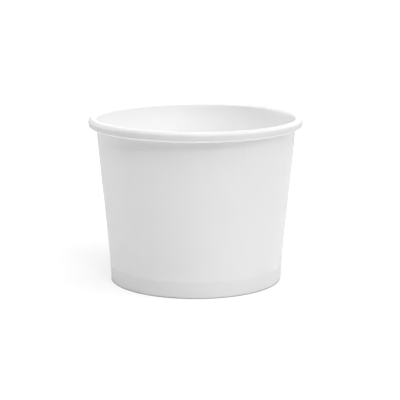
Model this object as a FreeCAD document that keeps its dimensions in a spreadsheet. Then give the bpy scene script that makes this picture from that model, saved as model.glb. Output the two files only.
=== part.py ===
import FreeCAD, Part
import math
import os

import Sketcher

# A paper sundae cup of two pieces. The side wall is one blank of paperboard, wrapped into a
# cone with a lapped side seam, curled outwards at the top into the rolled rim, and folded in
# and up at the bottom into a hem. The bottom disc has a skirt turned down into that hem.

# Driving sizes in millimetres and degrees: name, value, what it measures
SIZES = (
    ("cup_height", 73.9, "whole height, from the foot to the top of the rolled rim"),
    ("rim_diameter", 96.0, "across the outside of the rolled rim"),
    ("foot_diameter", 76.9, "across the outside of the foot, just above its fold"),
    ("wall_thickness", 0.35, "paperboard of the side wall"),
    ("disc_thickness", 0.30, "paperboard of the bottom disc"),
    ("seal_film", 0.02, "film between two sealed layers"),
    ("band_height", 7.0, "top of the straight band at the foot, level with the disc"),
    ("band_lean", 3.2, "lean of the band from upright"),
    ("neck_height", 2.0, "short neck between the band and the cone"),
    ("neck_lean", 1.4, "lean of the neck from upright"),
    ("shoulder_radius", 12.0, "soft bends below and above the neck"),
    ("fold_radius", 0.06, "inside radius of the fold round the skirt's edge"),
    ("fold_gap", 0.10, "room between the fold and the skirt's cut edge"),
    ("disc_corner_radius", 1.0, "outside radius where the disc turns into its skirt"),
    ("hem_drop", 0.6, "from the disc's corner bend down to the hem's cut edge"),
    ("rim_roll_radius", 1.75, "outside radius over the top of the rolled rim"),
    ("rim_flat", 1.2, "upright stretch on the outside of the rolled rim"),
    ("curl_gap", 0.38, "room between the wall and the tail of the curl"),
    ("curl_tail", 0.9, "straight tail of the curl, up along the wall"),
    ("lap_angle", 8.0, "width of the side seam's lap, about the axis"),
    ("lap_step", 0.28, "step at each cut edge of the pressed lap"),
    ("joggle_angle", 2.2, "where the outer layer comes back into the wall's line"),
    ("seam_turn", 4.0, "from the right-hand side of the cup to the inner cut edge"),
)

UPRIGHT = 90.0
AXIS_UP = FreeCAD.Vector(0, 0, 1)
AXIS_DOWN = FreeCAD.Vector(0, 0, -1)
CUP_FOOT = FreeCAD.Vector(0, 0, 0)

# The radial plane: a sketch's first direction is outwards and its second is up
RADIAL_PLANE = FreeCAD.Placement(CUP_FOOT, FreeCAD.Rotation(FreeCAD.Vector(1, 0, 0), UPRIGHT))

# The points of a sketched run or bend that a constraint can hold
START = 1
END = 2
CENTRE = 3

# Places that several sheets share, worked out from the driving sizes
FOLD_CENTRE = "Sizes.foot_diameter / 2 - Sizes.wall_thickness - Sizes.fold_radius"
BAND_START_RADIUS = "(%s + Sizes.fold_radius * cos(Sizes.band_lean))" % FOLD_CENTRE
BAND_START_HEIGHT = "(Sizes.wall_thickness + Sizes.fold_radius * (1 - sin(Sizes.band_lean)))"
SKIRT_END = "(Sizes.wall_thickness + Sizes.fold_gap)"
SKIRT_END_RADIUS = "(%s + (%s - %s) * tan(Sizes.band_lean) - Sizes.seal_film / cos(Sizes.band_lean))" % (
    BAND_START_RADIUS, SKIRT_END, BAND_START_HEIGHT)
HEM_ROOM = "(Sizes.disc_thickness + 2 * Sizes.seal_film)"
HEM_TOP = "Sizes.band_height - Sizes.disc_corner_radius - Sizes.hem_drop"


def make_sizes(document):
    """The sheet of driving sizes, each with its own alias."""
    sheet = document.addObject("Spreadsheet::Sheet", "Sizes")
    for row, (name, value, meaning) in enumerate(SIZES, start=1):
        sheet.set("A%d" % row, name)
        sheet.set("B%d" % row, str(value))
        sheet.setAlias("B%d" % row, name)
        sheet.set("C%d" % row, meaning)
    document.recompute()
    return sheet


class SheetLine:
    """The line of a sheet in the radial plane: straight runs and bends, each tangent to the last.

    It is drawn from a point with a heading, in degrees from outwards, so 90 is up. The runs
    and bends are first drawn near their place, then finish() pins them to the sizes with what
    hold() has gathered. The sheet's thickness lies on the right-hand side of the line.
    """

    def __init__(self, sheet, name, radius, height, heading):
        self.sketch = sheet.Document.addObject("Sketcher::SketchObject", name)
        self.sketch.Placement = RADIAL_PLANE
        self.point = FreeCAD.Vector(radius, height, 0)
        self.heading = math.radians(heading)
        self.last = None
        self.constraints = []
        self.expressions = {}

    def follow_on(self, piece, start, end):
        """Make the new piece tangent to the end of the one before it."""
        if self.last:
            self.hold("Tangent", *self.last, piece, start)
        self.last = (piece, end)
        return piece

    def run(self, length):
        """A straight run along the heading."""
        end = self.point + FreeCAD.Vector(math.cos(self.heading), math.sin(self.heading), 0) * length
        piece = self.sketch.addGeometry(Part.LineSegment(self.point, end), False)
        self.point = end
        return self.follow_on(piece, START, END)

    def bend(self, radius, turn):
        """A bend of so many degrees, to the left when it is positive."""
        side = math.copysign(1, turn)
        to_centre = self.heading + side * math.pi / 2
        centre = self.point + FreeCAD.Vector(math.cos(to_centre), math.sin(to_centre), 0) * radius
        first = to_centre + math.pi
        last = first + math.radians(turn)
        circle = Part.Circle(centre, FreeCAD.Vector(0, 0, 1), radius)
        piece = self.sketch.addGeometry(Part.ArcOfCircle(circle, min(first, last), max(first, last)), False)
        self.heading += math.radians(turn)
        self.point = centre + FreeCAD.Vector(math.cos(last), math.sin(last), 0) * radius
        if side > 0:
            return self.follow_on(piece, START, END)
        return self.follow_on(piece, END, START)

    def hold(self, kind, *where, by=None):
        """Gather a constraint, with an expression of the sizes for its value where it has one."""
        if by is not None:
            self.expressions[len(self.constraints)] = by
            value = float(self.sketch.evalExpression(by))
            where += (math.radians(value) if kind == "Angle" else value,)
        self.constraints.append(Sketcher.Constraint(kind, *where))

    def place(self, piece, point, radius, height):
        """Hold one point by its distance from the axis and its height."""
        self.hold("DistanceX", piece, point, by=radius)
        self.hold("DistanceY", piece, point, by=height)

    def finish(self):
        """Put the gathered constraints into the sketch together, and bind their values."""
        self.sketch.addConstraint(self.constraints)
        for index, expression in self.expressions.items():
            name = "size%d" % index
            self.sketch.renameConstraint(index, name)
            self.sketch.setExpression("Constraints." + name, expression)
        return self.sketch


def draw_hem(sheet):
    """The hem: down inside the skirt, round its cut edge and out to the foot of the band."""
    lean = sheet.band_lean
    leg = sheet.band_height - sheet.disc_corner_radius - sheet.hem_drop
    line = SheetLine(sheet, "hem_line", sheet.foot_diameter / 2 - sheet.disc_thickness - sheet.wall_thickness,
                     leg + sheet.wall_thickness, -UPRIGHT - lean)
    inner_leg = line.run(leg)
    inner_fold = line.bend(sheet.fold_radius, UPRIGHT + lean)
    flat = line.run(sheet.disc_thickness)
    outer_fold = line.bend(sheet.fold_radius, UPRIGHT - lean)
    line.place(outer_fold, CENTRE, FOLD_CENTRE, "Sizes.wall_thickness + Sizes.fold_radius")
    line.hold("Radius", outer_fold, by="Sizes.fold_radius")
    line.hold("Radius", inner_fold, by="Sizes.fold_radius")
    line.hold("Angle", outer_fold, by="90 - Sizes.band_lean")
    line.hold("Angle", inner_fold, by="90 + Sizes.band_lean")
    line.hold("Horizontal", flat)
    line.hold("Distance", flat, by="(%s - 2 * Sizes.fold_radius) / cos(Sizes.band_lean)" % HEM_ROOM)
    line.hold("DistanceY", inner_leg, START, by=HEM_TOP)
    return line.finish()


def draw_wall(sheet):
    """The wall: the band, the neck, the cone and the rolled rim down to the tail of its curl."""
    rim = sheet.rim_diameter / 2
    rise = sheet.cup_height - sheet.rim_roll_radius - sheet.band_height - sheet.neck_height
    spread = rim - 2 * sheet.rim_roll_radius - sheet.foot_diameter / 2
    cone_lean = math.degrees(math.atan2(spread, rise))
    line = SheetLine(sheet, "wall_line", sheet.foot_diameter / 2 - sheet.wall_thickness, sheet.wall_thickness,
                     UPRIGHT - sheet.band_lean)
    band = line.run(sheet.band_height)
    band_bend = line.bend(sheet.shoulder_radius, sheet.band_lean - sheet.neck_lean)
    neck = line.run(sheet.neck_height)
    neck_bend = line.bend(sheet.shoulder_radius, sheet.neck_lean - cone_lean)
    cone = line.run(rise)
    roll = line.bend(sheet.rim_roll_radius, cone_lean - 2 * UPRIGHT)
    flat = line.run(sheet.rim_flat)
    under = line.bend(sheet.rim_roll_radius - sheet.curl_gap, -cone_lean - 2 * UPRIGHT)
    tail = line.run(sheet.curl_tail)
    line.place(band, START, BAND_START_RADIUS, BAND_START_HEIGHT)
    line.hold("Angle", band, by="90 - Sizes.band_lean")
    line.hold("DistanceY", band, END, by="Sizes.band_height")
    line.hold("Radius", band_bend, by="Sizes.shoulder_radius")
    line.hold("Angle", neck, by="90 - Sizes.neck_lean")
    line.hold("DistanceY", neck, END, by="Sizes.band_height + Sizes.neck_height")
    line.hold("Radius", neck_bend, by="Sizes.shoulder_radius")
    line.hold("Radius", roll, by="Sizes.rim_roll_radius")
    line.place(roll, CENTRE, "Sizes.rim_diameter / 2 - Sizes.rim_roll_radius",
               "Sizes.cup_height - Sizes.rim_roll_radius")
    line.hold("Vertical", flat)
    line.hold("Distance", flat, by="Sizes.rim_flat")
    line.hold("Parallel", cone, tail)
    line.hold("Distance", tail, START, cone, by="Sizes.wall_thickness + Sizes.curl_gap")
    line.hold("Distance", tail, by="Sizes.curl_tail")
    return line.finish()


def draw_disc(sheet):
    """The bottom disc: from the axis out to the corner, and down its skirt into the hem."""
    lean = sheet.band_lean
    reach = sheet.foot_diameter / 2 - sheet.wall_thickness - sheet.disc_corner_radius
    drop = sheet.band_height - sheet.disc_corner_radius - sheet.wall_thickness - sheet.fold_gap
    line = SheetLine(sheet, "disc_line", 0, sheet.band_height, 0)
    panel = line.run(reach)
    corner = line.bend(sheet.disc_corner_radius, -UPRIGHT - lean)
    skirt = line.run(drop)
    line.place(panel, START, "0", "Sizes.band_height")
    line.hold("Horizontal", panel)
    line.hold("Radius", corner, by="Sizes.disc_corner_radius")
    line.hold("Angle", corner, by="90 + Sizes.band_lean")
    line.place(skirt, END, SKIRT_END_RADIUS, SKIRT_END)
    return line.finish()


def shift(line, name, distance):
    """A sheet's line moved to its right-hand side by an expression of the sizes."""
    moved = line.Document.addObject("Part::Offset2D", name)
    moved.Source = line
    moved.Mode = "Skin"
    moved.setExpression("Value", "-" + distance)
    return moved


def thicken(line, name, thickness):
    """The section of a sheet: its line, with the board's thickness on the right-hand side."""
    section = shift(line, name, thickness)
    section.Fill = True
    return section


def spin(section, name, angle, axis):
    """A section turned about the cup's axis by an expression of the sizes."""
    ring = section.Document.addObject("Part::Revolution", name)
    ring.Source = section
    ring.Axis = axis
    ring.Solid = True
    ring.setExpression("Angle", angle)
    return ring


def turn_about_axis(item, angle):
    """Turn an object about the cup's axis by an expression of the sizes."""
    item.Placement = FreeCAD.Placement(CUP_FOOT, FreeCAD.Rotation(AXIS_UP, 1))
    item.setExpression("Placement.Rotation.Angle", angle)


def make_side_wall(sheet):
    """The wrapped blank: hem, wall and rolled rim, with its lap and joggle at the side seam."""
    document = sheet.Document
    hem = spin(thicken(draw_hem(sheet), "hem_section", "Sizes.wall_thickness"), "hem_ring", "360", AXIS_UP)
    wall_line = draw_wall(sheet)
    layer = thicken(wall_line, "wall_section", "Sizes.wall_thickness")
    wall = spin(layer, "wall_ring", "360 - Sizes.joggle_angle", AXIS_DOWN)

    lapped_line = shift(wall_line, "lapped_line", "Sizes.lap_step")
    lapped_layer = thicken(lapped_line, "lapped_section", "Sizes.wall_thickness")
    lap = spin(lapped_layer, "lap_ring", "Sizes.lap_angle", AXIS_DOWN)

    joggle_end = document.addObject("Part::Compound", "joggle_end")
    joggle_end.Links = [layer]
    turn_about_axis(joggle_end, "Sizes.joggle_angle")
    joggle = document.addObject("Part::Loft", "joggle")
    joggle.Sections = [lapped_layer, joggle_end]
    joggle.Solid = True
    joggle.Ruled = True

    blank = document.addObject("Part::MultiFuse", "blank")
    blank.Shapes = [hem, wall, lap, joggle]
    turn_about_axis(blank, "Sizes.seam_turn")
    blank.Label = "side_wall"
    return blank


def make_bottom_disc(sheet):
    """The disc: a flat panel with a skirt turned down into the hem."""
    section = thicken(draw_disc(sheet), "disc_section", "Sizes.disc_thickness")
    disc = spin(section, "disc", "360", AXIS_UP)
    disc.Label = "bottom_disc"
    return disc


def check_objects(document):
    """Stop if any object failed."""
    for item in document.Objects:
        if "Invalid" in item.State or "Error" in item.State:
            raise RuntimeError("%s failed: %s" % (item.Name, item.State))


def check_piece(piece):
    """Stop if a piece isn't one good solid."""
    shape = piece.Shape
    if shape.isNull() or not shape.isValid():
        raise RuntimeError("%s has no good shape" % piece.Label)
    if len(shape.Solids) != 1:
        raise RuntimeError("%s is %d solids" % (piece.Label, len(shape.Solids)))


document = FreeCAD.newDocument("sundae_cup")
sheet = make_sizes(document)
pieces = (make_side_wall(sheet), make_bottom_disc(sheet))
document.recompute()
check_objects(document)
for piece in pieces:
    check_piece(piece)

os.makedirs("parts", exist_ok=True)
for piece in pieces:
    solid = piece.Shape.Solids[0]
    solid.exportStep("parts/%s.step" % piece.Label)
    print("%s: %.1f mm3, %d faces" % (piece.Label, solid.Volume, len(solid.Faces)))
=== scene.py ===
import math

import bmesh
import bpy
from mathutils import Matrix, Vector, noise


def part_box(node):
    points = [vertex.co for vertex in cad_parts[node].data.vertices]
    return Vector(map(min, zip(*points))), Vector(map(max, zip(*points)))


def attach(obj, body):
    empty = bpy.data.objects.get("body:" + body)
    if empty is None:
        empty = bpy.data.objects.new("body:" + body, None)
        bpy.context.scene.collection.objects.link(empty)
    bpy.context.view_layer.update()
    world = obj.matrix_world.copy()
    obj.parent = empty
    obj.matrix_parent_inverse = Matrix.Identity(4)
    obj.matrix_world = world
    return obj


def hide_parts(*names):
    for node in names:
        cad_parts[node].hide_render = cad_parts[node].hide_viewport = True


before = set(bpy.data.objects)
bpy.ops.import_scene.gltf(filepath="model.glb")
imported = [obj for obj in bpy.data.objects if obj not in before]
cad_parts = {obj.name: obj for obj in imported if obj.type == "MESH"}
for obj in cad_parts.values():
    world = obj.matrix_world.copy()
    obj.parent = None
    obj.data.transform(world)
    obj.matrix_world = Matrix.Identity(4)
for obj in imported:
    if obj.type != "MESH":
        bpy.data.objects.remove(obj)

bl_info = {
    "name": "Paper Sundae Cup",
    "version": (1, 0, 0),
    "blender": (4, 5, 0),
    "location": "3D Viewport > Sidebar > Paper Cup",
    "description": "A wrapped side wall with a rolled rim, a bottom disc, and a plain studio",
    "category": "Object",
}

MM = 0.001
MICRON = 0.000001
QUARTER_TURN = math.radians(90)
FULL_TURN = math.radians(360)

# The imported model's box, straight after it was loaded
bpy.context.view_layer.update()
WALL_LOW, WALL_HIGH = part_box("side_wall")
DISC_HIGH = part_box("bottom_disc")[1]

# How finely the section of the side wall is divided
LEG_CUTS = 4
FOLD_CUTS = 5
FADE_CUTS = 4
BAND_CUTS = 4
SHOULDER_CUTS = 2
NECK_CUTS = 1
CONE_CUTS = 18
ROLL_CUTS = 14
FLAT_CUTS = 2
UNDER_CUTS = 12
TAIL_CUTS = 2

# How finely the section of the bottom disc is divided
PANEL_CUTS = 24
CORNER_CUTS = 8
SKIRT_CUTS = 4

# How finely the pieces are divided round the axis
LAP_CUTS = 16
JOGGLE_CUTS = 6
ROUND_CUTS = 570
DISC_ROUND_CUTS = 360

# A cut edge is a strip this wide, so that it stands square to the sheet
EDGE_STRIP = math.radians(0.02)

# Where two faces meet at more than this, their edge stays crisp
CRISP_ANGLE = math.radians(40)

# Points of a mesh that are closer than this become one
WELD_DISTANCE = 0.1 * MICRON

# The material numbers on both pieces
LINED, PLAIN, RAW = 0, 1, 2

# Noise that runs round the cup has marks of their true size at this distance from the axis
NOISE_RADIUS = 40 * MM

# Going up, the wall starts to stray, strays in full, eases off and is true again at these heights
STRAY_STARTS = 9 * MM
STRAY_FULL = 26 * MM
STRAY_EASES = 52 * MM
STRAY_ENDS = 69 * MM

# Waves round the wall: share of the wall's wave, waves in a turn, and shift
WALL_WAVES = (
    (0.55, 2, 0.7),
    (0.3, 3, 2.0),
)

# Upright flats in the wall: share of their depth, width and height
WALL_FLATS = (
    (1.0, 9 * MM, 120 * MM),
    (0.5, 4 * MM, 90 * MM),
)

# The rim's waves start and are full at these heights
RIM_WAVES_START = 45 * MM
RIM_WAVES_FULL = 68 * MM
RIM_WAVES = 2
RIM_WAVES_SHIFT = 2.4

# Puckers across the rim: how far round from the seam they are deep, and the share left beyond
PUCKER_REACH = math.radians(38)
PUCKER_LEFT = 0.25

# Creases and softer lumps make the puckers deeper here and shallower there, as shares of their depth
PUCKER_DEPTH = 0.5
CREASE_DEPTH = 0.35
LUMP_DEPTH = 0.3

# How wide the creases and the lumps are, and how tall both are
CREASE_WIDTH = 1.7 * MM
LUMP_WIDTH = 5 * MM
PUCKER_HEIGHT = 12 * MM

# The creases slant: so many radians round the cup for each metre of height
CREASE_SLANT = 14

# The disc sags a little more on two opposite sides: by this share, and with this shift
SAG_UNEVEN = 0.25
SAG_SHIFT = 1.0


def length(name, description, default):
    """A size in metres."""
    return bpy.props.FloatProperty(name=name, description=description, default=default,
                                   precision=5, unit="LENGTH")


def angle(name, description, degrees):
    """An angle, given in degrees and held in radians."""
    return bpy.props.FloatProperty(name=name, description=description, default=math.radians(degrees),
                                   subtype="ANGLE", unit="ROTATION")


def share(name, description, default):
    """A number from 0 to 1."""
    return bpy.props.FloatProperty(name=name, description=description, default=default,
                                   min=0.0, max=1.0, subtype="FACTOR")


def colour(name, description, default):
    """A colour without alpha."""
    return bpy.props.FloatVectorProperty(name=name, description=description, default=default,
                                         size=3, min=0.0, max=1.0, subtype="COLOR")


class CupSizes(bpy.types.PropertyGroup):
    """Driving sizes of the cup."""

    cup_height: length("Cup height", "From the foot to the top of the rolled rim", WALL_HIGH.z)
    rim_diameter: length("Rim diameter", "Across the rolled rim", WALL_HIGH.x - WALL_LOW.x)
    foot_diameter: length("Foot diameter", "Across the foot, just above its fold", 76.9 * MM)
    wall_thickness: length("Wall thickness", "Paperboard of the side wall", 0.35 * MM)
    disc_thickness: length("Disc thickness", "Paperboard of the bottom disc", 0.30 * MM)
    seal_film: length("Seal film", "Film between two sealed layers", 0.02 * MM)
    band_height: length("Band height", "Height of the straight band, level with the disc", DISC_HIGH.z)
    band_lean: angle("Band lean", "Lean of the band from upright", 3.2)
    neck_height: length("Neck height", "Short neck between the band and the cone", 2.0 * MM)
    neck_lean: angle("Neck lean", "Lean of the neck from upright", 1.4)
    shoulder_radius: length("Shoulder radius", "Soft bends below and above the neck", 12.0 * MM)
    fold_radius: length("Fold radius", "Inside radius of the fold round the skirt's edge", 0.06 * MM)
    fold_gap: length("Fold gap", "Room between the fold and the skirt's cut edge", 0.10 * MM)
    disc_corner_radius: length("Disc corner radius", "Where the disc turns into its skirt", 1.0 * MM)
    hem_drop: length("Hem drop", "From the disc's corner bend down to the hem's cut edge", 0.6 * MM)
    rim_roll_radius: length("Rim roll radius", "Outside radius over the top of the rolled rim", 1.75 * MM)
    rim_flat: length("Rim flat", "Upright stretch on the outside of the rolled rim", 1.2 * MM)
    curl_gap: length("Curl gap", "Room between the wall and the tail of the curl", 0.38 * MM)
    curl_tail: length("Curl tail", "Straight tail of the curl, up along the wall", 0.9 * MM)
    lap_angle: angle("Lap angle", "Width of the side seam's lap, about the axis", 8.0)
    lap_step: length("Lap step", "Step at each cut edge of the pressed lap", 0.28 * MM)
    lap_fade: length("Lap fade", "Height over which the lap is pressed flat above the fold", 0.8 * MM)
    joggle_angle: angle("Joggle angle", "Where the outer layer comes back into the wall's line", 2.2)
    seam_turn: angle("Seam turn", "From the right-hand side of the cup to the inner cut edge", 4.0)
    wall_wave: length("Wall wave", "How far the wall strays from a true cone", 0.10 * MM)
    wall_flats: length("Wall flats", "Depth of the faint upright flats in the wrapped board", 0.030 * MM)
    rim_wave: length("Rim wave", "How far the rolled rim strays from a true ring", 0.06 * MM)
    rim_puckers: length("Rim puckers", "Depth of the small puckers across the rolled rim", 0.035 * MM)
    panel_sag: length("Panel sag", "How far the middle of the disc sags", 0.15 * MM)


class PaperLook(bpy.types.PropertyGroup):
    """Finish of the paperboard."""

    # The lining white is partly painted light: far lighter than the plain outside of the same board, for
    # the light in the cup and the light that comes through its wall
    lining_white_and_painted_light: colour("Lining white", "A single sheet, on its lined food side", (0.985, 0.985, 0.985))
    board_white: colour("Board white", "A single sheet, on its plain outside", (0.80, 0.80, 0.80))
    # Painted shade: the layered foot is darker than a single sheet, in place of the light that comes
    # through the wall above the disc and not below it
    layered_painted_shade: colour("Layered white", "Where layers lie together, in the foot", (0.69, 0.69, 0.69))
    # Painted shade: the rolled rim is the lining side of the sheet, given a darker colour than the lining
    # white for the light that does not come through its hollow curl
    curl_painted_shade: colour("Curl white", "The rolled rim, over the hollow of its curl", (0.77, 0.77, 0.77))
    # Painted light: the underside of the rolled rim is lightened towards the lining white
    underside_painted_light: share("Curl glow", "How far the underside of the rolled rim nears the lining white", 0.80)
    cloud_shade: share("Cloud shade", "How much darker the board is where its fibres lie closer", 0.014)
    edge_white: colour("Edge white", "Raw fibre at a cut edge", (0.90, 0.89, 0.87))
    outer_roughness: share("Outer roughness", "Roughness of the uncoated outside", 0.62)
    lining_roughness: share("Lining roughness", "Roughness of the film on the food side", 0.45)
    light_through: share("Light through", "Share of the light that passes a face of a single sheet", 0.22)
    layered_through: share("Layered through", "The same, where layers lie together", 0.05)


class StudioLook(bpy.types.PropertyGroup):
    """Floor, light and camera."""

    floor_white: share("Floor white", "The floor's colour to the light that it throws back", 0.88)
    floor_radius: length("Floor radius", "Reach of the floor round the cup", 6.0)
    floor_seen: share("Floor seen", "The floor's colour to the camera alone", 0.25)
    floor_lift: share("Floor lift", "Light that the camera alone sees in the floor near the cup", 0.68)
    # Painted shadow: the floor's glow is kept low along the foot
    contact_painted_shadow_lift: share("Contact lift", "The same, in the thin dark line along the foot", 0.18)
    distant_lift: share("Distant lift", "The same, far from the cup", 1.0)
    surround: share("Surround", "Level of the light from all round", 0.01)
    camera_back: length("Camera back", "From the cup's axis back to the camera", 643.4 * MM)
    camera_height: length("Camera height", "Height of the camera above the floor", 169.3 * MM)
    camera_tilt: angle("Camera tilt", "How far the camera looks down", 11.75)
    camera_turn: angle("Camera turn", "How far the camera looks to the right", 0.176)
    camera_lens: bpy.props.FloatProperty(name="Camera lens", description="Focal length on a 36 mm sensor",
                                         default=130.65, unit="CAMERA")


# Lamps: name, degrees round from the camera to the right, degrees up, distance and width in metres, and
# how bright the lamp alone makes a white surface that faces it
LAMPS = (
    ("top_panel", 6.0, 77.0, 2.5, 2.0, 0.98),
    ("left_top_lamp", 322.0, 56.0, 1.5, 1.0, 0.17),
    ("front_lamp", 17.0, 47.0, 2.5, 0.5, 0.21),
    ("right_panel", 75.0, 27.0, 2.5, 1.5, 0.32),
    ("back_right_panel", 135.0, 24.0, 2.5, 1.1, 0.26),
    ("back_panel", 180.0, 20.0, 2.5, 1.0, 0.17),
    ("back_left_panel", 237.0, 9.0, 2.5, 0.7, 0.27),
)

LAMP_AIM = Vector((0, 0, 40 * MM))

# The foot's fold is never quite flat, and stands on a few points with this much room beside them
FLOOR_GAP = 0.20 * MM

# Corners of the round floor
FLOOR_CORNERS = 96

# Painted shadow: the floor's glow is lower in a thin dark line along the foot, where the board shuts out
# the light; it fades between these radii
CONTACT_START = 38.2 * MM
CONTACT_END = 38.8 * MM

# The floor turns plain white between these radii, about a point to the left of the cup: painted light that
# clears the cup's shadow on its right sooner than on its left
SHADE_ASIDE = 40 * MM
SHADE_REACH = 70 * MM
SHADE_END = 120 * MM


def direction(heading):
    """The unit step along a heading in the radial plane."""
    return Vector((math.cos(heading), math.sin(heading)))


def ease(value, start, end):
    """A smooth rise from 0 at start to 1 at end."""
    t = min(1.0, max(0.0, (value - start) / (end - start)))
    return t * t * (3 - 2 * t)


class SheetLine:
    """The line of a sheet in the radial plane, walked in straight runs and bends that follow on.

    A point is its distance from the axis and its height. The board's thickness lies on the
    right-hand side of the line, seen along the walk.
    """

    def __init__(self, start, heading):
        self.heading = heading
        self.points = [start]
        self.headings = [heading]
        self.walked = [0.0]

    def step_to(self, point, distance):
        """Take one step of the walk."""
        self.points.append(point)
        self.headings.append(self.heading)
        self.walked.append(self.walked[-1] + distance)

    def run(self, distance, cuts):
        """A straight run."""
        start = self.points[-1]
        for cut in range(1, cuts + 1):
            self.step_to(start + direction(self.heading) * (distance * cut / cuts), distance / cuts)

    def bend(self, radius, turn, cuts):
        """A bend, to the left when the turn is positive."""
        side = math.copysign(QUARTER_TURN, turn)
        centre = self.points[-1] + direction(self.heading + side) * radius
        for _ in range(cuts):
            self.heading += turn / cuts
            self.step_to(centre + direction(self.heading - side) * radius, radius * abs(turn) / cuts)

    def beside(self, index, distance):
        """The point so far to the right of the line."""
        return self.points[index] + direction(self.headings[index] - QUARTER_TURN) * distance


def wall_line(sizes):
    """The side wall's line, with how far along it the lap begins and where the rolled rim begins."""
    lean = sizes.band_lean
    fold = sizes.fold_radius
    outer_fold = Vector((
        sizes.foot_diameter / 2 - sizes.wall_thickness - fold,
        sizes.wall_thickness + fold,
    ))
    flat = (sizes.disc_thickness + 2 * sizes.seal_film - 2 * fold) / math.cos(lean)
    inner_fold = outer_fold - Vector((flat, 0))
    leg_heading = -QUARTER_TURN - lean
    leg_foot = inner_fold + direction(leg_heading - QUARTER_TURN) * fold
    hem_top = sizes.band_height - sizes.disc_corner_radius - sizes.hem_drop
    leg = (hem_top - leg_foot.y) / math.cos(lean)

    line = SheetLine(leg_foot - direction(leg_heading) * leg, leg_heading)
    line.run(leg, LEG_CUTS)
    line.bend(fold, QUARTER_TURN + lean, FOLD_CUTS)
    line.run(flat, 1)
    line.bend(fold, QUARTER_TURN - lean, FOLD_CUTS)
    lap_start = line.walked[-1]

    line.run(sizes.lap_fade, FADE_CUTS)
    line.run((sizes.band_height - line.points[-1].y) / math.cos(lean), BAND_CUTS)
    line.bend(sizes.shoulder_radius, lean - sizes.neck_lean, SHOULDER_CUTS)
    neck_top = sizes.band_height + sizes.neck_height
    line.run((neck_top - line.points[-1].y) / math.cos(sizes.neck_lean), NECK_CUTS)

    # The cone touches the shoulder's bend and the roll, both on its right-hand side
    roll = sizes.rim_roll_radius
    shoulder_centre = line.beside(-1, sizes.shoulder_radius)
    roll_centre = Vector((sizes.rim_diameter / 2 - roll, sizes.cup_height - roll))
    apart = roll_centre - shoulder_centre
    narrowing = sizes.shoulder_radius - roll
    cone_heading = math.atan2(apart.y, apart.x) - math.asin(narrowing / apart.length)
    line.bend(sizes.shoulder_radius, cone_heading - line.heading, SHOULDER_CUTS)
    line.run(math.sqrt(apart.length_squared - narrowing ** 2), CONE_CUTS)
    rim_start = line.walked[-1]

    tail_room = sizes.wall_thickness + sizes.curl_gap - sizes.rim_flat * math.cos(cone_heading)
    line.bend(roll, -QUARTER_TURN - cone_heading, ROLL_CUTS)
    line.run(sizes.rim_flat, FLAT_CUTS)
    line.bend(roll - tail_room / (1 + math.sin(cone_heading)), cone_heading - 3 * QUARTER_TURN, UNDER_CUTS)
    line.run(sizes.curl_tail, TAIL_CUTS)
    return line, lap_start, rim_start


def disc_line(sizes):
    """The bottom disc's line: out from the axis, round the corner and down the skirt."""
    lean = sizes.band_lean
    fold = sizes.fold_radius
    band_foot = Vector((
        sizes.foot_diameter / 2 - sizes.wall_thickness - fold + fold * math.cos(lean),
        sizes.wall_thickness + fold * (1 - math.sin(lean)),
    ))
    skirt_heading = -QUARTER_TURN - lean
    skirt_height = sizes.wall_thickness + sizes.fold_gap
    skirt_end = Vector((
        band_foot.x + (skirt_height - band_foot.y) * math.tan(lean) - sizes.seal_film / math.cos(lean),
        skirt_height,
    ))
    inwards = direction(skirt_heading - QUARTER_TURN)
    corner_height = sizes.band_height - sizes.disc_corner_radius
    reach = (sizes.disc_corner_radius + skirt_end.dot(inwards) - corner_height * inwards.y) / inwards.x
    line = SheetLine(Vector((0, sizes.band_height)), 0.0)
    line.run(reach, PANEL_CUTS)
    line.bend(sizes.disc_corner_radius, skirt_heading, CORNER_CUTS)
    line.run((skirt_end - line.points[-1]).length, SKIRT_CUTS)
    return line


def seam_stations(sizes):
    """Azimuths round the side wall, from its outer cut edge.

    Each has the azimuth, and how far the lap moves the food side and the outside of the sheet.
    """
    outer_cut = sizes.seam_turn - sizes.lap_angle
    joggle_end = sizes.seam_turn + sizes.joggle_angle
    step = sizes.lap_step
    stations = [(outer_cut - EDGE_STRIP, 0.0, 0.0)]
    for cut in range(LAP_CUTS + 1):
        stations.append((outer_cut + sizes.lap_angle * cut / LAP_CUTS, 0.0, step))
    for cut in range(JOGGLE_CUTS):
        azimuth = sizes.seam_turn + EDGE_STRIP + sizes.joggle_angle * cut / JOGGLE_CUTS
        left = step * (1 - ease(cut, 0, JOGGLE_CUTS))
        stations.append((azimuth, left, left))
    round_way = outer_cut - EDGE_STRIP + FULL_TURN - joggle_end
    for cut in range(ROUND_CUTS):
        stations.append((joggle_end + round_way * cut / ROUND_CUTS, 0.0, 0.0))
    return stations


def around(azimuth, height, grain, upright_grain):
    """A point for the noise that runs seamlessly round the cup, with marks of that size."""
    ring = NOISE_RADIUS / grain
    return Vector((ring * math.cos(azimuth), ring * math.sin(azimuth), height / upright_grain))


def wall_stray(sizes, azimuth, height):
    """How far outwards the wall strays from a true cone."""
    belly = ease(height, STRAY_STARTS, STRAY_FULL) * (1 - ease(height, STRAY_EASES, STRAY_ENDS))
    waves = sum(part * math.sin(count * azimuth + shift) for part, count, shift in WALL_WAVES)
    flats = sum(part * noise.noise(around(azimuth, height, *size)) for part, *size in WALL_FLATS)
    top = ease(height, RIM_WAVES_START, RIM_WAVES_FULL)
    rim = -0.5 * (1 + math.sin(RIM_WAVES * azimuth + RIM_WAVES_SHIFT))
    return belly * (sizes.wall_wave * waves + sizes.wall_flats * flats) + top * sizes.rim_wave * rim


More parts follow.
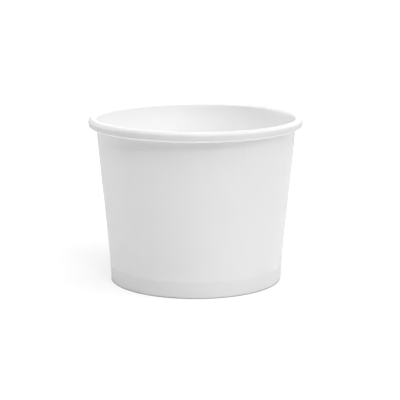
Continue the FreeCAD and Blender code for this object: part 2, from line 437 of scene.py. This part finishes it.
def rim_pucker(sizes, azimuth, height):
    """Depth of the small puckers across the rolled rim, deepest beside the side seam."""
    from_seam = math.remainder(azimuth - sizes.seam_turn, FULL_TURN)
    near_seam = math.exp(-(from_seam / PUCKER_REACH) ** 2)
    creases = noise.noise(around(azimuth + height * CREASE_SLANT, height, CREASE_WIDTH, PUCKER_HEIGHT))
    lumps = noise.noise(around(azimuth, height, LUMP_WIDTH, PUCKER_HEIGHT))
    depth = PUCKER_DEPTH + CREASE_DEPTH * creases + LUMP_DEPTH * lumps
    return sizes.rim_puckers * (PUCKER_LEFT + (1 - PUCKER_LEFT) * near_seam) * depth


def raise_mesh(name, rings, slots, materials):
    """A closed mesh from rings of section points, all with the same number of points.

    slots gives the material number of each strip, from the ring's number and the point's.
    """
    mesh = bpy.data.meshes.new(name)
    for material in materials:
        mesh.materials.append(material)
    bm = bmesh.new()
    verts = [[bm.verts.new(point) for point in ring] for ring in rings]
    count = len(rings[0])
    for number, ring in enumerate(verts):
        following = verts[(number + 1) % len(verts)]
        for point in range(count):
            after = (point + 1) % count
            face = bm.faces.new((ring[point], ring[after], following[after], following[point]))
            face.smooth = True
            face.material_index = slots(number, point)
    bmesh.ops.remove_doubles(bm, verts=bm.verts, dist=WELD_DISTANCE)
    bmesh.ops.recalc_face_normals(bm, faces=bm.faces)
    for edge in bm.edges:
        if edge.calc_face_angle(0.0) > CRISP_ANGLE:
            edge.smooth = False
    bm.to_mesh(mesh)
    bm.free()
    item = bpy.data.objects.new(name, mesh)
    bpy.context.scene.collection.objects.link(item)
    return item


def in_the_round(radius, height, azimuth):
    """A point of the radial plane, turned to its azimuth."""
    return Vector((radius * math.cos(azimuth), radius * math.sin(azimuth), height))


def build_side_wall(sizes, materials):
    """The wrapped blank, with its hem, lap and rolled rim."""
    line, lap_start, rim_start = wall_line(sizes)
    stations = seam_stations(sizes)
    last = len(line.points) - 1
    fades = [ease(walked, lap_start, lap_start + sizes.lap_fade) for walked in line.walked]
    rim_shares = [ease(walked, rim_start, rim_start + sizes.rim_roll_radius) for walked in line.walked]

    def ring_at(azimuth, inner_step, outer_step):
        """The section at one azimuth, along the food side and back along the outside."""
        near = []
        far = []
        for index, fade in enumerate(fades):
            height = line.points[index].y
            stray = wall_stray(sizes, azimuth, height)
            dent = rim_shares[index] * rim_pucker(sizes, azimuth, height)
            food_side = line.beside(index, inner_step * fade + dent)
            outside = line.beside(index, sizes.wall_thickness + outer_step * fade)
            near.append(in_the_round(food_side.x + stray, food_side.y, azimuth))
            far.append(in_the_round(outside.x + stray, outside.y, azimuth))
        return near + far[::-1]

    def slot_of(number, point):
        """Raw along the cut edges, lined on the food side and plain outside."""
        if point in (last, 2 * last + 1):
            return RAW
        index = point if point < last else 2 * last - point
        before, after = stations[number], stations[(number + 1) % len(stations)]
        step = 1 if point < last else 2
        if fades[index] > 0.5 and abs(after[step] - before[step]) > 0.5 * sizes.lap_step:
            return RAW
        return LINED if point < last else PLAIN

    rings = [ring_at(*station) for station in stations]
    return raise_mesh("side_wall_paper", rings, slot_of, materials)


def build_bottom_disc(sizes, materials):
    """The disc with its skirt, a little sagged in the middle."""
    line = disc_line(sizes)
    last = len(line.points) - 1
    rim = line.points[PANEL_CUTS].x

    def sag_at(radius, azimuth):
        """How far the disc sags there."""
        share_out = min(1.0, radius / rim)
        uneven = 1 + SAG_UNEVEN * share_out * math.sin(2 * azimuth + SAG_SHIFT)
        return sizes.panel_sag * uneven * (1 - share_out ** 2) ** 2

    def ring_at(azimuth):
        """The section at one azimuth, along the food side and back along the underside."""
        ring = []
        for index in range(last + 1):
            point = line.points[index]
            ring.append(in_the_round(point.x, point.y - sag_at(point.x, azimuth), azimuth))
        for index in range(last, -1, -1):
            point = line.beside(index, sizes.disc_thickness)
            ring.append(in_the_round(point.x, point.y - sag_at(point.x, azimuth), azimuth))
        return ring

    def slot_of(_, point):
        """Raw at the skirt's cut edge, lined above and plain below."""
        if point == last:
            return RAW
        return LINED if point < last else PLAIN

    rings = [ring_at(FULL_TURN * cut / DISC_ROUND_CUTS) for cut in range(DISC_ROUND_CUTS)]
    return raise_mesh("bottom_disc_paper", rings, slot_of, materials)


# A material's nodes stand in a row, so far apart
NODE_SPACING = 240

# A mix node's sockets for colours share their names with its others, so they go by number
MIX_FIRST, MIX_SECOND, MIX_RESULT = 6, 7, 2

# Nearly all of a noise texture lies between these
NOISE_LOW = 0.3
NOISE_HIGH = 0.7

# How strongly the finer layers of a noise texture show
NOISE_ROUGHNESS = 0.6

# The foot's layers end level with the disc, on a line that wanders up and down by so much
LAYERS_END = DISC_HIGH.z
LAYERS_WANDER = 0.3 * MM

# Within this radius the disc is a single sheet
PANEL_END = DISC_HIGH.x - 1.5 * MM

# The rolled rim lies beyond this radius, and its underside below this height
CURL_START = WALL_HIGH.x - 2.7 * MM
UNDERSIDE = WALL_HIGH.z - 3.6 * MM

# A zone fades into the next over so much to each side, at the foot and elsewhere
FOOT_BLUR = 1.0 * MM
RIM_BLUR = 0.4 * MM

# Marks in the board and its film: their size, and how finely they are broken up
WANDERING = (5 * MM, 2.0)
CLOUDS = (6 * MM, 3.0)
STREAKS = (2.2 * MM, 2.0)
FILM_FIBRES = (0.9 * MM, 3.0)
FILM_CREASES = (0.9 * MM, 3.0)
BOARD_FIBRES = (0.35 * MM, 5.0)
BOARD_GRAIN = (0.8 * MM, 4.0)
EDGE_LAYERS = (0.12 * MM, 4.0)

# Marks drawn out up the cup: the radius of their ring, and how far the height counts
STREAKS_RING = (44 * MM, 0.08)
CREASES_RING = (46 * MM, 0.35)
GRAIN_RING = (42 * MM, 0.25)

# The share of the streaks in the board's shade, where the rest is the clouds'
STREAKS_SHARE = 0.5

# Depths of the marks in each face
FILM_FIBRES_DEPTH = 7 * MICRON
FILM_CREASES_DEPTH = 14 * MICRON
BOARD_FIBRES_DEPTH = 12 * MICRON
BOARD_GRAIN_DEPTH = 10 * MICRON
EDGE_LAYERS_DEPTH = 30 * MICRON

# How far a face's roughness goes below and above its own value
FILM_UNEVEN = (0.04, 0.05)
BOARD_UNEVEN = (0.05, 0.06)

# The film mirrors a little less than plain board
FILM_SPECULAR = 0.4

# A raw edge: its least and greatest roughness, and how dark its hollows are beside its fibres
EDGE_ROUGHNESS = (0.75, 0.9)
EDGE_SHADE = 0.86


def add_node(tree, kind, inputs=None, **settings):
    """A shader node, with its sockets linked or set, and its settings."""
    made = tree.nodes.new(kind)
    made.location = (NODE_SPACING * len(tree.nodes), 0)
    for name, value in settings.items():
        setattr(made, name, value)
    for name, value in (inputs or {}).items():
        if isinstance(value, bpy.types.NodeSocket):
            tree.links.new(value, made.inputs[name])
        else:
            made.inputs[name].default_value = value
    return made


def fresh_material(name):
    """A material whose node tree is still empty."""
    material = bpy.data.materials.new(name)
    material.use_nodes = True
    material.node_tree.nodes.clear()
    return material


def reckon(tree, operation, *values, **settings):
    """A step of arithmetic on numbers, each a value or a socket."""
    made = add_node(tree, "ShaderNodeMath", dict(enumerate(values)), operation=operation, **settings)
    return made.outputs["Value"]


def reckon_vector(tree, operation, *values):
    """A step of arithmetic on vectors, each a value or a socket."""
    made = add_node(tree, "ShaderNodeVectorMath", dict(enumerate(values)), operation=operation)
    return made.outputs["Vector"]


def marks(tree, where, grain, detail):
    """A noise texture with marks of that size, from 0 to 1."""
    made = add_node(tree, "ShaderNodeTexNoise", {
        "Vector": where,
        "Scale": 1 / grain,
        "Detail": detail,
        "Roughness": NOISE_ROUGHNESS,
    })
    return made.outputs["Fac"]


def spread(tree, value, low, high):
    """The middle of a noise, spread from low to high."""
    made = add_node(tree, "ShaderNodeMapRange", {
        "Value": value,
        "From Min": NOISE_LOW,
        "From Max": NOISE_HIGH,
        "To Min": low,
        "To Max": high,
    })
    return made.outputs["Result"]


def without_height(tree, place):
    """A place with its height taken away."""
    return reckon_vector(tree, "MULTIPLY", place, (1, 1, 0))


def round_the_axis(tree, place, ring, upright):
    """Places that keep only the way round the cup and a share of the height."""
    unit = reckon_vector(tree, "NORMALIZE", without_height(tree, place))
    rise = reckon_vector(tree, "MULTIPLY", place, (0, 0, upright))
    return reckon_vector(tree, "MULTIPLY_ADD", unit, (ring, ring, ring), rise)


def bump(tree, height, depth, under=None):
    """A bump of that depth, on top of another one if there is one."""
    inputs = {"Height": height, "Strength": 1.0, "Distance": depth}
    if under is not None:
        inputs["Normal"] = under
    return add_node(tree, "ShaderNodeBump", inputs).outputs["Normal"]


def step_between(tree, value, start, end):
    """A smooth rise from 0 at start to 1 at end, which may lie either way round."""
    made = add_node(tree, "ShaderNodeMapRange", {
        "Value": value,
        "From Min": start,
        "From Max": end,
    }, interpolation_type="SMOOTHSTEP")
    return made.outputs["Result"]


def from_axis(tree, place):
    """How far a place is from the cup's axis."""
    made = add_node(tree, "ShaderNodeVectorMath", {0: without_height(tree, place)}, operation="LENGTH")
    return made.outputs["Value"]


def zones(tree, place):
    """Numbers from 0 to 1 for a single sheet, the rolled rim, and the underside of the rim."""
    height = add_node(tree, "ShaderNodeSeparateXYZ", {"Vector": place}).outputs["Z"]
    away = from_axis(tree, place)
    wander = spread(tree, marks(tree, place, *WANDERING), -LAYERS_WANDER, LAYERS_WANDER)
    uneven = reckon(tree, "ADD", height, wander)
    above_foot = step_between(tree, uneven, LAYERS_END - FOOT_BLUR, LAYERS_END + FOOT_BLUR)
    panel = step_between(tree, away, PANEL_END + RIM_BLUR, PANEL_END - RIM_BLUR)
    single = reckon(tree, "MAXIMUM", above_foot, panel)
    curl = step_between(tree, away, CURL_START - RIM_BLUR, CURL_START + RIM_BLUR)
    below = step_between(tree, height, UNDERSIDE + RIM_BLUR, UNDERSIDE - RIM_BLUR)
    return single, curl, reckon(tree, "MULTIPLY", curl, below)


def between(tree, factor, low, high):
    """A number between two others."""
    made = add_node(tree, "ShaderNodeMapRange", {"Value": factor, "To Min": low, "To Max": high})
    return made.outputs["Result"]


def blend(tree, factor, first, second, how="MIX"):
    """A colour between two others, each a colour or a socket."""
    inputs = {"Factor": factor}
    for socket, value in ((MIX_FIRST, first), (MIX_SECOND, second)):
        inputs[socket] = value if isinstance(value, bpy.types.NodeSocket) else (*value, 1)
    made = add_node(tree, "ShaderNodeMix", inputs, data_type="RGBA", blend_type=how)
    return made.outputs[MIX_RESULT]


def board_surface(tree, place, look, white):
    """Bleached board: its colour, clouded by its fibres, with painted shade in the layered foot and on the
    rolled rim and painted light on the rim's underside, and how much light it lets through.
    """
    single, curl, underside = zones(tree, place)
    clouds = reckon(tree, "MULTIPLY", marks(tree, place, *CLOUDS), 1 - STREAKS_SHARE)
    streaks = marks(tree, round_the_axis(tree, place, *STREAKS_RING), *STREAKS)
    both = reckon(tree, "MULTIPLY_ADD", streaks, STREAKS_SHARE, clouds)
    # Painted shade in the layered foot, below the disc
    clean = blend(tree, single, look.layered_painted_shade, white)
    # Painted shade over the whole rolled rim
    clean = blend(tree, curl, clean, look.curl_painted_shade)
    # Painted light on the underside of the rolled rim
    clean = blend(tree, reckon(tree, "MULTIPLY", underside, look.underside_painted_light), clean, look.lining_white_and_painted_light)
    shade = 1 - look.cloud_shade
    cloudy = blend(tree, spread(tree, both, 0.0, 1.0), clean, (shade, shade, shade), how="MULTIPLY")
    return cloudy, between(tree, single, look.layered_through, look.light_through)


def uneven_roughness(tree, noise_socket, middle, stray):
    """A roughness that goes below and above its middle as the noise does."""
    below, above = stray
    return spread(tree, noise_socket, middle - below, middle + above)


def paper_shader(tree, colour_socket, through, sockets):
    """Paperboard: its face, and the light that comes through it."""
    face = add_node(tree, "ShaderNodeBsdfPrincipled", {"Base Color": colour_socket, **sockets})
    glow = add_node(tree, "ShaderNodeBsdfTranslucent", {
        "Color": colour_socket,
        "Normal": sockets["Normal"],
    })
    mixed = add_node(tree, "ShaderNodeMixShader", {
        0: through,
        1: face.outputs["BSDF"],
        2: glow.outputs["BSDF"],
    })
    add_node(tree, "ShaderNodeOutputMaterial", {"Surface": mixed.outputs["Shader"]})


def dress_lining(tree, look):
    """The food side: board under a thin film, satin and even."""
    place = add_node(tree, "ShaderNodeTexCoord").outputs["Object"]
    fibres = marks(tree, place, *FILM_FIBRES)
    creases = marks(tree, round_the_axis(tree, place, *CREASES_RING), *FILM_CREASES)
    paper_shader(tree, *board_surface(tree, place, look, look.lining_white_and_painted_light), {
        "Roughness": uneven_roughness(tree, fibres, look.lining_roughness, FILM_UNEVEN),
        "Normal": bump(tree, creases, FILM_CREASES_DEPTH, bump(tree, fibres, FILM_FIBRES_DEPTH)),
        "Specular IOR Level": FILM_SPECULAR,
    })


def dress_outside(tree, look):
    """The outside: plain board, matte and finely fibrous."""
    place = add_node(tree, "ShaderNodeTexCoord").outputs["Object"]
    fibres = marks(tree, place, *BOARD_FIBRES)
    grain = marks(tree, round_the_axis(tree, place, *GRAIN_RING), *BOARD_GRAIN)
    paper_shader(tree, *board_surface(tree, place, look, look.board_white), {
        "Roughness": uneven_roughness(tree, fibres, look.outer_roughness, BOARD_UNEVEN),
        "Normal": bump(tree, grain, BOARD_GRAIN_DEPTH, bump(tree, fibres, BOARD_FIBRES_DEPTH)),
    })


def dress_raw_edge(tree, look):
    """A cut edge: raw fibre, a little creamy and open."""
    place = add_node(tree, "ShaderNodeTexCoord").outputs["Object"]
    layers = marks(tree, place, *EDGE_LAYERS)
    hollow = [EDGE_SHADE * value for value in look.edge_white]
    tint = blend(tree, spread(tree, layers, 0.0, 1.0), look.edge_white, hollow)
    paper_shader(tree, tint, look.layered_through, {
        "Roughness": spread(tree, layers, *EDGE_ROUGHNESS),
        "Normal": bump(tree, layers, EDGE_LAYERS_DEPTH),
    })


def paper_materials(look):
    """The materials in the order of their numbers, made once and shared by both pieces."""
    materials = []
    for name, dress in (
        ("lined_board", dress_lining),
        ("plain_board", dress_outside),
        ("raw_edge", dress_raw_edge),
    ):
        material = bpy.data.materials.get(name)
        if material is None:
            material = fresh_material(name)
            dress(material.node_tree, look)
        materials.append(material)
    return materials


def seen_rays(tree):
    """1 for the rays that show the background itself, and 0 for those that light the cup."""
    path = add_node(tree, "ShaderNodeLightPath").outputs
    mirrored = reckon(tree, "MAXIMUM", path["Is Glossy Ray"], path["Is Transmission Ray"])
    shown = reckon(tree, "MAXIMUM", path["Is Camera Ray"], mirrored)
    return reckon(tree, "SUBTRACT", shown, path["Is Diffuse Ray"], use_clamp=True)


def dress_floor(tree, studio):
    """The floor: white to the camera but for the cup's soft shadow and the dark line along its foot,
    deepened with painted shadow, and with painted light that clears the shadow sooner on the cup's right.
    """
    seen = add_node(tree, "ShaderNodeLightPath").outputs["Is Camera Ray"]
    white = between(tree, seen, studio.floor_white, studio.floor_seen)
    matte = add_node(tree, "ShaderNodeBsdfDiffuse", {"Color": white})
    place = add_node(tree, "ShaderNodeTexCoord").outputs["Object"]
    # Painted shadow: less glow in the floor along the foot
    beside = step_between(tree, from_axis(tree, place), CONTACT_START, CONTACT_END)
    near = between(tree, beside, studio.contact_painted_shadow_lift, studio.floor_lift)
    # Painted light: the glow rises away from a point left of the cup, so that less of the cup's shadow
    # shows on its right
    aside = reckon_vector(tree, "ADD", place, (SHADE_ASIDE, 0, 0))
    distant = step_between(tree, from_axis(tree, aside), SHADE_REACH, SHADE_END)
    lift = between(tree, distant, near, studio.distant_lift)
    glow = add_node(tree, "ShaderNodeEmission", {"Strength": reckon(tree, "MULTIPLY", seen, lift)})
    added = add_node(tree, "ShaderNodeAddShader", {0: matte.outputs["BSDF"], 1: glow.outputs["Emission"]})
    add_node(tree, "ShaderNodeOutputMaterial", {"Surface": added.outputs["Shader"]})


def build_floor(studio):
    """A wide round floor, a little below the foot."""
    material = fresh_material("floor_white")
    dress_floor(material.node_tree, studio)
    mesh = bpy.data.meshes.new("floor")
    mesh.materials.append(material)
    bm = bmesh.new()
    bmesh.ops.create_circle(bm, cap_ends=True, segments=FLOOR_CORNERS, radius=studio.floor_radius)
    bmesh.ops.translate(bm, verts=bm.verts, vec=(0, 0, -FLOOR_GAP))
    bm.to_mesh(mesh)
    bm.free()
    floor = bpy.data.objects.new("floor", mesh)
    bpy.context.scene.collection.objects.link(floor)


def build_surround(studio):
    """Even light from all round, white where the camera looks straight at it."""
    world = bpy.data.worlds.new("surround")
    world.use_nodes = True
    tree = world.node_tree
    tree.nodes.clear()
    level = between(tree, seen_rays(tree), studio.surround, 1.0)
    sky = add_node(tree, "ShaderNodeBackground", {"Color": (1, 1, 1, 1), "Strength": level})
    add_node(tree, "ShaderNodeOutputWorld", {"Surface": sky.outputs["Background"]})
    bpy.context.scene.world = world


def build_lamp(name, turn, up, distance, width, level):
    """A round soft lamp that makes a white surface facing it render at that level."""
    lamp = bpy.data.lights.new(name, "AREA")
    lamp.shape = "DISK"
    lamp.size = width
    lamp.energy = level * (math.pi * distance) ** 2
    item = bpy.data.objects.new(name, lamp)
    bpy.context.scene.collection.objects.link(item)
    rise = math.radians(up)
    towards = in_the_round(math.cos(rise), math.sin(rise), math.radians(turn) - QUARTER_TURN)
    item.location = LAMP_AIM + towards * distance
    item.rotation_euler = towards.to_track_quat("Z", "Y").to_euler()


def build_camera(studio):
    """The camera at the photograph's place and angle."""
    data = bpy.data.cameras.new("camera")
    data.lens = studio.camera_lens
    camera = bpy.data.objects.new("camera", data)
    bpy.context.scene.collection.objects.link(camera)
    camera.location = (0, -studio.camera_back, studio.camera_height)
    camera.rotation_euler = (QUARTER_TURN - studio.camera_tilt, 0, -studio.camera_turn)
    bpy.context.scene.camera = camera


class PAPER_CUP_OT_side_wall(bpy.types.Operator):
    """Make the wrapped side wall with its hem, side seam and rolled rim"""

    bl_idname = "paper_cup.side_wall"
    bl_label = "Make the Side Wall"

    def execute(self, context):
        piece = build_side_wall(context.scene.cup_sizes, paper_materials(context.scene.paper_look))
        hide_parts("side_wall")
        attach(piece, "root")
        return {"FINISHED"}


class PAPER_CUP_OT_bottom_disc(bpy.types.Operator):
    """Make the bottom disc with its skirt"""

    bl_idname = "paper_cup.bottom_disc"
    bl_label = "Make the Bottom Disc"

    def execute(self, context):
        piece = build_bottom_disc(context.scene.cup_sizes, paper_materials(context.scene.paper_look))
        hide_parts("bottom_disc")
        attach(piece, "root")
        return {"FINISHED"}


class PAPER_CUP_OT_studio(bpy.types.Operator):
    """Make the floor, the light and the camera"""

    bl_idname = "paper_cup.studio"
    bl_label = "Make the Studio"

    def execute(self, context):
        studio = context.scene.studio_look
        build_floor(studio)
        build_surround(studio)
        for lamp in LAMPS:
            build_lamp(*lamp)
        build_camera(studio)
        context.scene.view_settings.view_transform = "Standard"
        return {"FINISHED"}


class PAPER_CUP_PT_panel(bpy.types.Panel):
    """The cup's sizes, finish and studio, and the steps that make them"""

    bl_idname = "PAPER_CUP_PT_panel"
    bl_label = "Paper Cup"
    bl_space_type = "VIEW_3D"
    bl_region_type = "UI"
    bl_category = "Paper Cup"

    def draw(self, context):
        for group, steps in (
            (context.scene.cup_sizes, (PAPER_CUP_OT_side_wall, PAPER_CUP_OT_bottom_disc)),
            (context.scene.paper_look, ()),
            (context.scene.studio_look, (PAPER_CUP_OT_studio,)),
        ):
            box = self.layout.box()
            for name in group.bl_rna.properties.keys():
                if name not in ("rna_type", "name"):
                    box.prop(group, name)
            for step in steps:
                box.operator(step.bl_idname)


CLASSES = (
    CupSizes,
    PaperLook,
    StudioLook,
    PAPER_CUP_OT_side_wall,
    PAPER_CUP_OT_bottom_disc,
    PAPER_CUP_OT_studio,
    PAPER_CUP_PT_panel,
)


def register():
    """Add the classes to Blender and the property groups to its scenes."""
    for cls in CLASSES:
        bpy.utils.register_class(cls)
    bpy.types.Scene.cup_sizes = bpy.props.PointerProperty(type=CupSizes)
    bpy.types.Scene.paper_look = bpy.props.PointerProperty(type=PaperLook)
    bpy.types.Scene.studio_look = bpy.props.PointerProperty(type=StudioLook)


def unregister():
    """Take the property groups and the classes away again."""
    del bpy.types.Scene.studio_look
    del bpy.types.Scene.paper_look
    del bpy.types.Scene.cup_sizes
    for cls in reversed(CLASSES):
        bpy.utils.unregister_class(cls)


def main():
    """Make the whole scene, one step after another."""
    register()
    bpy.ops.paper_cup.side_wall()
    bpy.ops.paper_cup.bottom_disc()
    bpy.ops.paper_cup.studio()
    bpy.context.view_layer.update()


if __name__ == "__main__":
    main()
